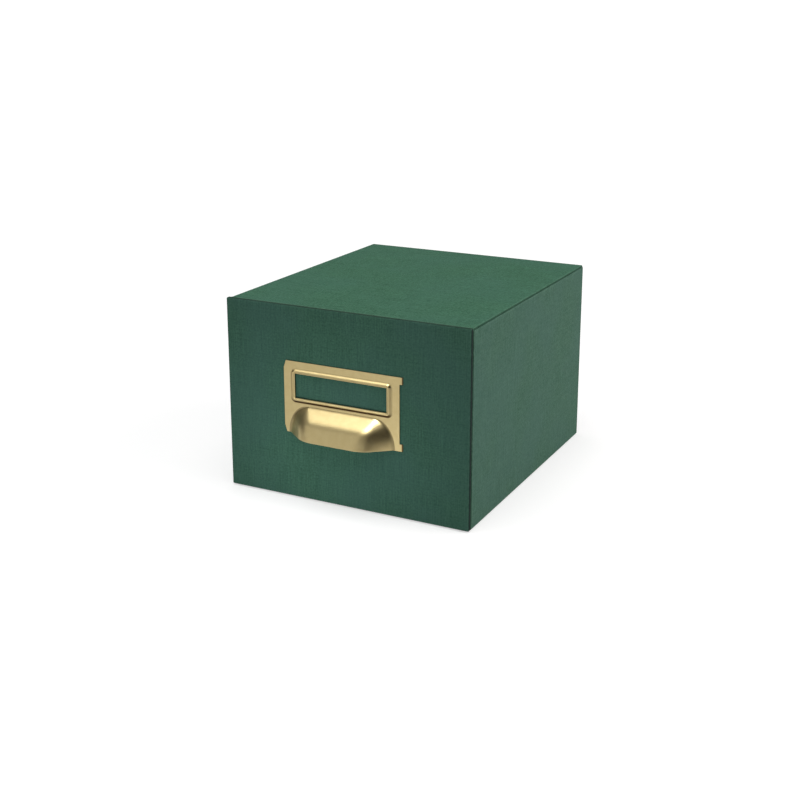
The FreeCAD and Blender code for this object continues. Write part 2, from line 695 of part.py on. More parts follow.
def main():
    """Build the nodes, print their sizes and write one file for each."""
    os.makedirs("parts", exist_ok=True)
    for name, shape in build().items():
        box = shape.BoundBox
        size = " x ".join(f"{length:.2f}" for length in (box.XLength, box.YLength, box.ZLength))
        print(f"{name}: {len(shape.Solids)} solid(s), {size} mm, valid {shape.isValid()}")
        shape.exportStep(f"parts/{name}.step")


if __name__ == "__main__":
    main()
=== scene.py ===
"""The looks of a card index drawer: a green cloth-covered box with a stamped brass pull.

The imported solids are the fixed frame. Cloth, paper and brass are dressed on them here, the
pieces that show most are replaced by finer ones, and a small studio is set round the object.
Everything is in metres, but for the thread maps, the places that textures take and the sizes of
the pull, which are in millimetres.
"""
import logging
import math
from dataclasses import dataclass
from enum import Enum
from typing import Iterable, Sequence

import bmesh
import bpy
from mathutils import Matrix, Vector


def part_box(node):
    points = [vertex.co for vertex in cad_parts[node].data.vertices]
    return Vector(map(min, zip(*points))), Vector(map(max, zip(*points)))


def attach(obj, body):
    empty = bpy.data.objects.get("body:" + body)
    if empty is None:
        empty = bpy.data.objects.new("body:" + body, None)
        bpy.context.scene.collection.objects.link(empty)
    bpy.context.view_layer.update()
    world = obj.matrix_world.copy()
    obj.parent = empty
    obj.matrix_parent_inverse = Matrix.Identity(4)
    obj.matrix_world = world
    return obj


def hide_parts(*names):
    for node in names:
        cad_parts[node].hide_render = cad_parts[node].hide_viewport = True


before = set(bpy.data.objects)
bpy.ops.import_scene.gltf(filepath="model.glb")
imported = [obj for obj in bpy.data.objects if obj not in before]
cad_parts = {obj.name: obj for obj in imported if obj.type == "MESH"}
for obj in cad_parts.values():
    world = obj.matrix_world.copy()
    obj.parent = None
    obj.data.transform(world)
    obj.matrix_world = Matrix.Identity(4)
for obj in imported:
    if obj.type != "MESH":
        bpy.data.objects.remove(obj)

LOG = logging.getLogger("card_drawer")
MM = 0.001
THREAD_MAP = "thread"
# The brass pull's mesh layer of painted shade.
PAINTED_SHADE_LAYER = "painted_shade"
VECTOR, FLOAT = "NodeSocketVector", "NodeSocketFloat"
MERGE_REACH = 0.002 * MM
FLAT_ANGLE = math.radians(0.3)
SHARP_ANGLE = 32.0
LARGEST_FACES = 100
WEAVE_AXES = ((1, 2), (0, 2), (1, 0))

Colour = tuple[float, float, float, float]


class Slot(Enum):
    """The record's material slots."""

    CLOTH = "book_cloth"
    BOARD = "grey_board"
    DARK_PAPER = "dark_paper"
    LINING = "lining_paper"
    TAPE = "gummed_tape"
    BRASS = "brass_plate"


class Body(Enum):
    """The two bodies of the drawer box."""

    CASE = "case"
    DRAWER = "drawer"


def linear(red: int, green: int, blue: int) -> Colour:
    """Turns a screen colour into the linear colour that a shader takes.

    Args:
        red: Red, 0 to 255.
        green: Green, 0 to 255.
        blue: Blue, 0 to 255.

    Returns:
        Linear red, green, blue and an alpha of 1.
    """
    parts = []
    for value in (red, green, blue):
        share = value / 255
        parts.append(share / 12.92 if share <= 0.04045 else ((share + 0.055) / 1.055) ** 2.4)
    return (parts[0], parts[1], parts[2], 1.0)


class Nodes:
    """A small hand for laying out a node tree."""

    def __init__(self, tree: bpy.types.NodeTree) -> None:
        """Takes the tree that the nodes go into."""
        self.tree = tree

    def add(self, kind: str, **settings: object) -> bpy.types.Node:
        """Adds a node and sets its plain properties.

        Args:
            kind: Blender's name of the node type.
            settings: Properties of the node, by name.

        Returns:
            The new node.
        """
        node = self.tree.nodes.new(kind)
        for name, value in settings.items():
            setattr(node, name, value)
        return node

    def put(self, socket: bpy.types.NodeSocket, value: object) -> None:
        """Links a socket to another one, or gives it a plain value.

        Args:
            socket: The socket that takes the value.
            value: The other socket, or a plain value.
        """
        if isinstance(value, bpy.types.NodeSocket):
            self.tree.links.new(value, socket)
        else:
            socket.default_value = value

    def math(self, operation: str, first: object, second: object = None,
             third: object = None, clamp: bool = False) -> bpy.types.NodeSocket:
        """Adds a Math node.

        Args:
            operation: The node's operation.
            first: Its first socket or number.
            second: Its second, where it has one.
            third: Its third, where it has one.
            clamp: Whether the result is kept between 0 and 1.

        Returns:
            The result's socket.
        """
        node = self.add("ShaderNodeMath", operation=operation, use_clamp=clamp)
        for place, value in enumerate((first, second, third)):
            if value is not None:
                self.put(node.inputs[place], value)
        return node.outputs[0]

    def vector(self, operation: str, first: object, second: object) -> bpy.types.NodeSocket:
        """Adds a Vector Math node.

        Args:
            operation: The node's operation.
            first: Its first socket or vector.
            second: Its second one.

        Returns:
            The result's socket.
        """
        node = self.add("ShaderNodeVectorMath", operation=operation)
        self.put(node.inputs[0], first)
        self.put(node.inputs[1], second)
        return node.outputs[0]

    def mix(self, share: object, first: object, second: object) -> bpy.types.NodeSocket:
        """Adds a colour mix.

        Args:
            share: How much of the second colour shows.
            first: The first colour.
            second: The second colour.

        Returns:
            The mixed colour's socket.
        """
        node = self.add("ShaderNodeMix", data_type="RGBA")
        self.put(node.inputs["Factor"], share)
        self.put(node.inputs["A"], first)
        self.put(node.inputs["B"], second)
        return node.outputs["Result"]

    def span(self, value: object, low: float, high: float, to_low: float = 0.0,
             to_high: float = 1.0, smooth: bool = True) -> bpy.types.NodeSocket:
        """Maps a value from one span to another, clamped.

        Args:
            value: What is mapped.
            low: Where the span starts.
            high: Where it ends.
            to_low: The result at the start.
            to_high: The result at the end.
            smooth: Whether the passage is eased.

        Returns:
            The mapped value's socket.
        """
        kind = "SMOOTHSTEP" if smooth else "LINEAR"
        node = self.add("ShaderNodeMapRange", interpolation_type=kind)
        self.put(node.inputs["Value"], value)
        for name, number in zip(("From Min", "From Max", "To Min", "To Max"),
                                (low, high, to_low, to_high)):
            self.put(node.inputs[name], number)
        return node.outputs["Result"]

    def noise(self, place: object, scale: object, detail: float,
              roughness: float) -> bpy.types.NodeSocket:
        """Adds a noise texture.

        Args:
            place: Where it is read.
            scale: How fine it is.
            detail: How many finer layers it has.
            roughness: How much they show.

        Returns:
            Its value's socket.
        """
        node = self.add("ShaderNodeTexNoise")
        self.put(node.inputs["Vector"], place)
        self.put(node.inputs["Scale"], scale)
        self.put(node.inputs["Detail"], detail)
        self.put(node.inputs["Roughness"], roughness)
        return node.outputs["Fac"]


def new_group(name: str, takes: Sequence[tuple[str, str, object]],
              gives: Sequence[str]) -> tuple[Nodes, bpy.types.Node, bpy.types.Node]:
    """Starts a shader node group.

    Args:
        name: The group's name.
        takes: Its inputs: name, socket type and starting value.
        gives: The names of its outputs, all plain values.

    Returns:
        The hand on its tree, its input node and its output node.
    """
    tree = bpy.data.node_groups.new(name, "ShaderNodeTree")
    for label, kind, start in takes:
        socket = tree.interface.new_socket(label, in_out="INPUT", socket_type=kind)
        if start is not None:
            socket.default_value = start
    for label in gives:
        tree.interface.new_socket(label, in_out="OUTPUT", socket_type="NodeSocketFloat")
    hand = Nodes(tree)
    return hand, hand.add("NodeGroupInput"), hand.add("NodeGroupOutput")


def weave_group() -> bpy.types.NodeTree:
    """Plain weave with slubs, on a thread map in millimetres.

    Returns:
        The group.
    """
    lifted_round, dipped_round = 0.5, 0.9
    level_rates, upright_rates = (0.045, 1.7, 0.0), (2.2, 0.045, 0.0)
    level_share, slub_middle = 0.5, 0.75
    tone_low, tone_relief, tone_slub = 0.32, 0.35, 1.6
    hand, given, made = new_group(
        "plain_weave",
        [("Thread map", VECTOR, None), ("Pitch", FLOAT, 0.5), ("Slub", FLOAT, 0.5)],
        ["Relief", "Tone"],
    )
    thread_map = given.outputs["Thread map"]
    parts = hand.add("ShaderNodeSeparateXYZ")
    hand.put(parts.inputs[0], thread_map)
    across = hand.math("DIVIDE", parts.outputs[0], given.outputs["Pitch"])
    along = hand.math("DIVIDE", parts.outputs[1], given.outputs["Pitch"])
    warp = hand.math("ABSOLUTE", hand.math("SINE", hand.math("MULTIPLY", across, math.pi)))
    weft = hand.math("ABSOLUTE", hand.math("SINE", hand.math("MULTIPLY", along, math.pi)))
    cell = hand.math("ADD", hand.math("FLOOR", across), hand.math("FLOOR", along))
    over = hand.math("PINGPONG", cell, 1.0)
    lifted = hand.math("MULTIPLY", hand.math("POWER", warp, lifted_round),
                       hand.math("POWER", weft, dipped_round))
    dipped = hand.math("MULTIPLY", hand.math("POWER", weft, lifted_round),
                       hand.math("POWER", warp, dipped_round))
    gap = hand.math("SUBTRACT", lifted, dipped)
    relief = hand.math("MULTIPLY_ADD", gap, over, dipped)
    level_slubs, upright_slubs = (
        hand.noise(hand.vector("MULTIPLY", thread_map, rates), 1.0, detail=3.0, roughness=0.6)
        for rates in (level_rates, upright_rates))
    slubs = hand.math("MULTIPLY_ADD", level_slubs, level_share, upright_slubs)
    uneven = hand.math("MULTIPLY", hand.math("SUBTRACT", slubs, slub_middle),
                       given.outputs["Slub"])
    hand.put(made.inputs["Relief"], hand.math("ADD", relief, uneven))
    # Painted shade between the threads: the tone is darker where they dip; the slubs add random
    # tone.
    tone = hand.math("MULTIPLY_ADD", relief, tone_relief, tone_low)
    uneven_tone = hand.math("MULTIPLY", uneven, tone_slub)
    hand.put(made.inputs["Tone"], hand.math("ADD", tone, uneven_tone, clamp=True))
    return hand.tree


def mottle_group() -> bpy.types.NodeTree:
    """Soft blotches of two sizes, on a place in millimetres.

    Returns:
        The group.
    """
    hand, given, made = new_group(
        "mottle",
        [("Place", VECTOR, None), ("Broad", FLOAT, 0.02), ("Fine", FLOAT, 0.2)],
        ["Broad patches", "Fine specks"],
    )
    place = given.outputs["Place"]
    broad = hand.noise(place, given.outputs["Broad"], detail=2.0, roughness=0.45)
    fine = hand.noise(place, given.outputs["Fine"], detail=3.0, roughness=0.6)
    hand.put(made.inputs["Broad patches"], hand.span(broad, low=0.3, high=0.7))
    hand.put(made.inputs["Fine specks"], hand.span(fine, low=0.25, high=0.75))
    return hand.tree


def edge_group() -> bpy.types.NodeTree:
    """How near a point is to an edge of a box, for rubbed edges: 1 on the edge.

    Returns:
        The group.
    """
    patch_scale = 0.35
    hand, given, made = new_group(
        "rubbed_edges",
        [("Place", VECTOR, None), ("Centre", VECTOR, (0, 0, 0)), ("Half size", VECTOR, (1, 1, 1)),
         ("Reach", FLOAT, 1.0)],
        ["Rub"],
    )
    away = hand.vector("SUBTRACT", given.outputs["Place"], given.outputs["Centre"])
    whole = hand.add("ShaderNodeVectorMath", operation="ABSOLUTE")
    hand.put(whole.inputs[0], away)
    inside = hand.add("ShaderNodeSeparateXYZ")
    hand.put(inside.inputs[0], hand.vector("SUBTRACT", whole.outputs[0],
                                           given.outputs["Half size"]))
    x, y, z = inside.outputs[0], inside.outputs[1], inside.outputs[2]
    low, high = hand.math("MINIMUM", x, y), hand.math("MAXIMUM", x, y)
    second = hand.math("MAXIMUM", low, hand.math("MINIMUM", high, z))
    worn = hand.math("ADD", hand.math("DIVIDE", second, given.outputs["Reach"]), 1.0, clamp=True)
    patches = hand.noise(given.outputs["Place"], patch_scale, detail=4.0, roughness=0.65)
    shown = hand.span(patches, low=0.3, high=0.7)
    hand.put(made.inputs["Rub"], hand.math("MULTIPLY", worn, shown))
    return hand.tree


def grain_group() -> bpy.types.NodeTree:
    """Fine grain of a blasted or pressed surface, on a place in millimetres.

    Returns:
        The group.
    """
    drawn_out, cloud_scale = 0.08, 0.25
    hand, given, made = new_group(
        "fine_grain",
        [("Place", VECTOR, None), ("Grain", FLOAT, 6.0), ("Draw", FLOAT, 0.5)],
        ["Relief", "Variation"],
    )
    place, fineness = given.outputs["Place"], given.outputs["Grain"]
    specks = hand.noise(place, fineness, detail=4.0, roughness=0.6)
    stretched = hand.vector("MULTIPLY", place, (drawn_out, 1.0, 1.0))
    lines = hand.noise(stretched, fineness, detail=3.0, roughness=0.6)
    drawn = hand.math("MULTIPLY", hand.math("SUBTRACT", lines, specks), given.outputs["Draw"])
    hand.put(made.inputs["Relief"], hand.math("ADD", specks, drawn))
    clouds = hand.noise(place, cloud_scale, detail=3.0, roughness=0.55)
    hand.put(made.inputs["Variation"], hand.span(clouds, low=0.3, high=0.7))
    return hand.tree


def emptied(owner: bpy.types.Material | bpy.types.World) -> Nodes:
    """Turns on the nodes of a material or world, and takes them all out.

    Args:
        owner: The material or world.

    Returns:
        The hand on its empty tree.
    """
    owner.use_nodes = True
    owner.node_tree.nodes.clear()
    return Nodes(owner.node_tree)


@dataclass(frozen=True)
class Effects:
    """The shader node groups that the finishes share."""

    weave: bpy.types.NodeTree
    mottle: bpy.types.NodeTree
    edges: bpy.types.NodeTree
    grain: bpy.types.NodeTree

    @classmethod
    def build(cls) -> "Effects":
        """Makes each group once."""
        return cls(weave_group(), mottle_group(), edge_group(), grain_group())


class Shader:
    """A material with one Principled shader, and a hand on its nodes."""

    def __init__(self, name: str) -> None:
        """Makes the material with its shader and output.

        Args:
            name: The material's name.
        """
        self.material = bpy.data.materials.new(name)
        self.hand = emptied(self.material)
        self.surface = self.hand.add("ShaderNodeBsdfPrincipled")
        output = self.hand.add("ShaderNodeOutputMaterial")
        self.hand.put(output.inputs["Surface"], self.surface.outputs[0])

    def place(self) -> bpy.types.NodeSocket:
        """The place on the object, in millimetres."""
        where = self.hand.add("ShaderNodeTexCoord")
        return self.hand.vector("MULTIPLY", where.outputs["Object"], (1 / MM,) * 3)

    def thread_map(self) -> bpy.types.NodeSocket:
        """The piece's own thread map, in millimetres."""
        return self.hand.add("ShaderNodeUVMap", uv_map=THREAD_MAP).outputs[0]

    def effect(self, group: bpy.types.NodeTree, **values: object) -> bpy.types.Node:
        """Places a shared group and gives it its values.

        Args:
            group: The node group.
            values: Its inputs; an underscore stands for a space in a name.

        Returns:
            The group's node.
        """
        node = self.hand.add("ShaderNodeGroup", node_tree=group)
        for name, value in values.items():
            self.hand.put(node.inputs[name.replace("_", " ")], value)
        return node

    def bump(self, height: object, strength: float, depth: float) -> None:
        """Bumps the surface by a height.

        Args:
            height: The height's socket.
            strength: How strongly it shows.
            depth: The height's full depth, in metres.
        """
        node = self.hand.add("ShaderNodeBump")
        self.hand.put(node.inputs["Height"], height)
        self.hand.put(node.inputs["Strength"], strength)
        self.hand.put(node.inputs["Distance"], depth)
        self.hand.put(self.surface.inputs["Normal"], node.outputs[0])

    def set(self, **values: object) -> None:
        """Sets or links the shader's own sockets; an underscore stands for a space."""
        for name, value in values.items():
            self.hand.put(self.surface.inputs[name.replace("_", " ")], value)


@dataclass(frozen=True)
class BookCloth:
    """Starch-filled green book cloth. Lengths are in mm, and scales are per mm."""

    name: str = "green_book_cloth"
    shade: Colour = linear(30, 66, 48)
    light: Colour = linear(68, 114, 89)
    cool: Colour = linear(58, 97, 83)
    worn: Colour = linear(104, 138, 118)
    pitch: float = 0.55
    slub: float = 0.95
    rub: float = 0.3
    rub_reach: float = 1.6
    patch_scale: float = 0.022
    patch_share: float = 0.35
    speck_scale: float = 0.8
    speck_share: float = 0.6
    sheen: float = 0.03
    sheen_spread: float = 0.5
    specular: float = 0.05
    dull: float = 0.82
    smooth: float = 0.68
    relief: float = 0.12
    relief_strength: float = 0.5

    def make(self, effects: Effects, low: Vector, high: Vector) -> bpy.types.Material:
        """Makes the cloth for a covering that fills a box.

        Args:
            effects: The shared node groups.
            low: The box's lowest corner, in metres.
            high: Its highest corner, in metres.

        Returns:
            The material.
        """
        shader = Shader(self.name)
        hand = shader.hand
        place = shader.place()
        weave = shader.effect(effects.weave, Thread_map=shader.thread_map(), Pitch=self.pitch,
                              Slub=self.slub)
        mottle = shader.effect(effects.mottle, Place=place, Broad=self.patch_scale,
                               Fine=self.speck_scale)
        centre, half = (low + high) / 2 / MM, (high - low) / 2 / MM
        rubbed = shader.effect(effects.edges, Place=place, Centre=centre, Half_size=half,
                               Reach=self.rub_reach)
        specks = hand.math("MULTIPLY_ADD", mottle.outputs["Fine specks"], self.speck_share,
                           -self.speck_share / 2)
        # The weave's tone, with its painted shade between threads, sets the colour between shade
        # and light.
        tone = hand.math("ADD", weave.outputs["Tone"], specks, clamp=True)
        colour = hand.mix(tone, self.shade, self.light)
        patches = hand.math("MULTIPLY", mottle.outputs["Broad patches"], self.patch_share)
        colour = hand.mix(patches, colour, self.cool)
        colour = hand.mix(hand.math("MULTIPLY", rubbed.outputs["Rub"], self.rub), colour,
                          self.worn)
        shader.set(Base_Color=colour, Sheen_Weight=self.sheen, Sheen_Roughness=self.sheen_spread,
                   Specular_IOR_Level=self.specular,
                   Roughness=hand.span(tone, 0.0, 1.0, self.dull, self.smooth, smooth=False))
        shader.bump(weave.outputs["Relief"], self.relief_strength, self.relief * MM)
        return shader.material


TOP_CLOTH = BookCloth()
# Painted shade: a darker copy of the cloth for the drawer's front.
FRONT_SHADED_CLOTH = BookCloth("front_shaded_book_cloth", linear(40, 70, 58), linear(59, 94, 78),
                        linear(55, 84, 80), rub=0.08)
# Painted light and sheen: a lighter, greyer copy of the cloth for the case's side.
SIDE_LIT_CLOTH = BookCloth("side_lit_book_cloth", linear(50, 83, 68), linear(77, 112, 94),
                       linear(70, 101, 94))
# A darker cloth on the top cover's turned-down faces.
DARK_TURN_CLOTH = BookCloth("dark_turn_book_cloth", linear(28, 58, 43), linear(47, 84, 65),
                          linear(42, 74, 64), rub=0.12)
# Painted shade: near-black cloth on the drawer front's side edges, for the shadow of the gap behind
# them.
FRONT_EDGE_SHADED_CLOTH = BookCloth("front_edge_shaded_cloth", linear(12, 28, 24), linear(24, 45, 38),
                             linear(20, 38, 36), rub=0.04)
# Painted shade: darker cloth on the drawer front's top and bottom edges, evening out their stronger
# light.
FRONT_TOP_SHADED_CLOTH = BookCloth("front_top_shaded_cloth", linear(22, 46, 36), linear(38, 66, 52),
                            linear(34, 60, 52), rub=0.06)


@dataclass(frozen=True)
class FoldedEdge:
    """Folded-over faces that take a darker cloth, which on the drawer front is painted shade."""

    cloth: BookCloth
    axes: tuple[int, ...]
    squareness: float = 0.8

    def holds(self, normal: Vector) -> bool:
        """Whether a face with this normal is on the folded edge."""
        return any(abs(normal[axis]) > self.squareness for axis in self.axes)


@dataclass(frozen=True)
class SatinBrass:
    """Brass-plated sheet with a satin, blasted face. Lengths are in mm, and scales are per mm."""

    name: str = "satin_brass"
    bright: Colour = linear(206, 188, 137)
    deep: Colour = linear(202, 183, 132)
    # The brown of the painted shade in recesses and on the pull's root, bead and ears.
    painted_shade: Colour = linear(68, 46, 28)
    grain_scale: float = 7.0
    grain_draw: float = 0.35
    samples: int = 16
    recess_reach: float = 2.5
    recess_deep: float = 0.4
    recess_open: float = 0.85
    recess_share: float = 0.75
    rough: float = 0.31
    rough_clouds: float = -0.02
    rough_grain: float = 0.04
    relief: float = 0.01
    relief_strength: float = 0.03

    def make(self, effects: Effects) -> bpy.types.Material:
        """Makes the brass.

        Args:
            effects: The shared node groups.

        Returns:
            The material.
        """
        shader = Shader(self.name)
        hand = shader.hand
        grain = shader.effect(effects.grain, Place=shader.place(), Grain=self.grain_scale,
                              Draw=self.grain_draw)
        # Painted shade: darker in recesses, from ambient occlusion, and where the mesh's
        # painted-shade layer says.
        shelter = hand.add("ShaderNodeAmbientOcclusion", samples=self.samples)
        hand.put(shelter.inputs["Distance"], self.recess_reach * MM)
        recess = hand.span(shelter.outputs["AO"], self.recess_deep, self.recess_open, 1.0, 0.0)
        laid = hand.add("ShaderNodeAttribute", attribute_name=PAINTED_SHADE_LAYER)
        sheltered = hand.math("MAXIMUM", hand.math("MULTIPLY", recess, self.recess_share),
                              laid.outputs["Fac"])
        colour = hand.mix(grain.outputs["Variation"], self.deep, self.bright)
        colour = hand.mix(sheltered, colour, self.painted_shade)
        rough = hand.math("MULTIPLY_ADD", grain.outputs["Variation"], self.rough_clouds, self.rough)
        rough = hand.math("MULTIPLY_ADD", grain.outputs["Relief"], self.rough_grain, rough)
        shader.set(Base_Color=colour, Metallic=1.0, Roughness=rough)
        shader.bump(grain.outputs["Relief"], self.relief_strength, self.relief * MM)
        return shader.material


@dataclass(frozen=True)
class PressedSheet:
    """Paper or grey board: fibres, flecks and a soft mottle. Lengths are in mm."""

    name: str
    pale: Colour
    dark: Colour
    fleck: Colour
    flecks: float = 0.3
    fleck_scale: float = 1.7
    patch_scale: float = 0.04
    speck_scale: float = 0.9
    grain_scale: float = 3.0
    grain_draw: float = 0.4
    rough: float = 0.85
    rough_specks: float = -0.1
    specular: float = 0.25
    relief: float = 0.03
    relief_strength: float = 0.4

    def make(self, effects: Effects) -> bpy.types.Material:
        """Makes the sheet.

        Args:
            effects: The shared node groups.

        Returns:
            The material.
        """
        shader = Shader(self.name)
        hand = shader.hand
        place = shader.place()
        grain = shader.effect(effects.grain, Place=place, Grain=self.grain_scale,
                              Draw=self.grain_draw)
        mottle = shader.effect(effects.mottle, Place=place, Broad=self.patch_scale,
                               Fine=self.speck_scale)
        colour = hand.mix(mottle.outputs["Broad patches"], self.dark, self.pale)
        flecks = hand.noise(place, self.fleck_scale, detail=5.0, roughness=0.7)
        flecks = hand.span(flecks, low=0.6, high=0.7)
        colour = hand.mix(hand.math("MULTIPLY", flecks, self.flecks), colour, self.fleck)
        shader.set(Base_Color=colour, Specular_IOR_Level=self.specular,
                   Roughness=hand.math("MULTIPLY_ADD", mottle.outputs["Fine specks"],
                                       self.rough_specks, self.rough))
        shader.bump(grain.outputs["Relief"], self.relief_strength, self.relief * MM)
        return shader.material


GREY_BOARD = PressedSheet("grey_board", linear(174, 166, 150), linear(166, 158, 143),
                          linear(112, 104, 92), flecks=0.5, relief=0.06)
DARK_PAPER = PressedSheet("dark_wrap_paper", linear(50, 56, 52), linear(45, 50, 47),
                          linear(74, 80, 76), rough=0.75)
LINING_PAPER = PressedSheet("lining_paper", linear(214, 208, 192), linear(203, 196, 180),
                            linear(168, 160, 142))
GUMMED_TAPE = PressedSheet("gummed_tape", linear(176, 142, 98), linear(160, 127, 86),
                           linear(120, 92, 58), rough=0.6)


def merged_copy(node: str) -> bmesh.types.BMesh:
    """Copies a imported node's triangles and joins them into faces.

    Args:
        node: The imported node's name.

    Returns:
        A bmesh with its loose vertices merged and its flat faces whole.
    """
    mesh = bmesh.new()
    mesh.from_mesh(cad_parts[node].data)
    bmesh.ops.remove_doubles(mesh, verts=mesh.verts, dist=MERGE_REACH)
    bmesh.ops.dissolve_limit(mesh, angle_limit=FLAT_ANGLE, verts=mesh.verts, edges=mesh.edges)
    return mesh


def lay_thread_map(mesh: bmesh.types.BMesh) -> None:
    """Gives each face the weave's two directions, flat on the face, in millimetres.

    Args:
        mesh: The covering's bmesh.
    """
    layer = mesh.loops.layers.uv.new(THREAD_MAP)
    mesh.normal_update()
    for face in mesh.faces:
        size = [abs(part) for part in face.normal]
        facing = size.index(max(size))
        first, second = WEAVE_AXES[facing]
        for loop in face.loops:
            place = loop.vert.co / MM
            loop[layer].uv = (place[first], place[second])


def soften(mesh: bmesh.types.BMesh, angle: float = SHARP_ANGLE) -> None:
    """Shades a bmesh smooth, but for open edges and those that turn by more than an angle.

    Args:
        mesh: The bmesh.
        angle: The angle, in degrees.
    """
    for face in mesh.faces:
        face.smooth = True
    for edge in mesh.edges:
        edge.smooth = edge.calc_face_angle(math.pi) < math.radians(angle)


def make_piece(name: str, mesh: bmesh.types.BMesh, body: Body,
               material: bpy.types.Material, replaced: Iterable[str] = ()) -> bpy.types.Object:
    """Makes an object of a bmesh and puts it on its body.

    Args:
        name: The piece's name.
        mesh: Its bmesh, which is freed.
        body: The body that it rides on.
        material: Its finish.
        replaced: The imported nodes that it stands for.

    Returns:
        The new object.
    """
    data = bpy.data.meshes.new(name)
    mesh.to_mesh(data)
    mesh.free()
    data.materials.append(material)
    piece = bpy.data.objects.new(name, data)
    bpy.context.scene.collection.objects.link(piece)
    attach(piece, body.value)
    if replaced:
        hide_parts(*replaced)
    LOG.info("piece %s: %d faces on %s", name, len(data.polygons), body.value)
    return piece


def even_normals(piece: bpy.types.Object) -> None:
    """Lets the large flat faces set the shading at their rounded edges.

    Args:
        piece: The piece.
    """
    modifier = piece.modifiers.new("even_normals", "WEIGHTED_NORMAL")
    modifier.keep_sharp = True
    modifier.weight = LARGEST_FACES


def paint_node(node: str, material: bpy.types.Material) -> None:
    """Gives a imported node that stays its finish.

    Args:
        node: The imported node's name.
        material: Its finish.
    """
    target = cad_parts[node]
    target.data.materials.clear()
    target.data.materials.append(material)
    LOG.info("node %s: %s", node, material.name)


@dataclass
class Covering:
    """Cloth coverings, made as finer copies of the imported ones."""

    effects: Effects
    cloth: BookCloth = TOP_CLOTH

    def cover(self, node: str, name: str, body: Body, edges: Sequence[FoldedEdge] = ()) -> None:
        """Dresses one covering.

        Args:
            node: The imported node's name.
            name: The new piece's name.
            body: The body that it rides on.
            edges: Its folded edges.
        """
        mesh = merged_copy(node)
        lay_thread_map(mesh)
        soften(mesh)
        for face in mesh.faces:
            for place, edge in enumerate(edges, 1):
                if edge.holds(face.normal):
                    face.material_index = place
        low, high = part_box(node)
        piece = make_piece(name, mesh, body, self.cloth.make(self.effects, low, high),
                           [node])
        for edge in edges:
            piece.data.materials.append(edge.cloth.make(self.effects, low, high))
        even_normals(piece)


@dataclass
class Case:
    """The cloth-covered sleeve that stands on the table."""

    effects: Effects
    papers: dict[str, bpy.types.Material]
    boards: tuple[str, ...] = ("case_top_board", "case_bottom_board", "case_left_board",
                               "case_right_board", "case_back_board")

    def build(self) -> None:
        """Covers and lines the case."""
        covering = Covering(self.effects)
        covering.cover("case_top_cloth", "top_cover", Body.CASE,
                       [FoldedEdge(DARK_TURN_CLOTH, (0, 1))])
        Covering(self.effects, SIDE_LIT_CLOTH).cover("case_side_cloth", "side_cover", Body.CASE)
        covering.cover("case_mouth_binding", "mouth_cover", Body.CASE)
        for board in self.boards:
            paint_node(board, self.papers["board"])
        paint_node("case_base_sheet", self.papers["dark"])
        paint_node("case_lining", self.papers["lining"])
        paint_node("case_back_lining", self.papers["lining"])


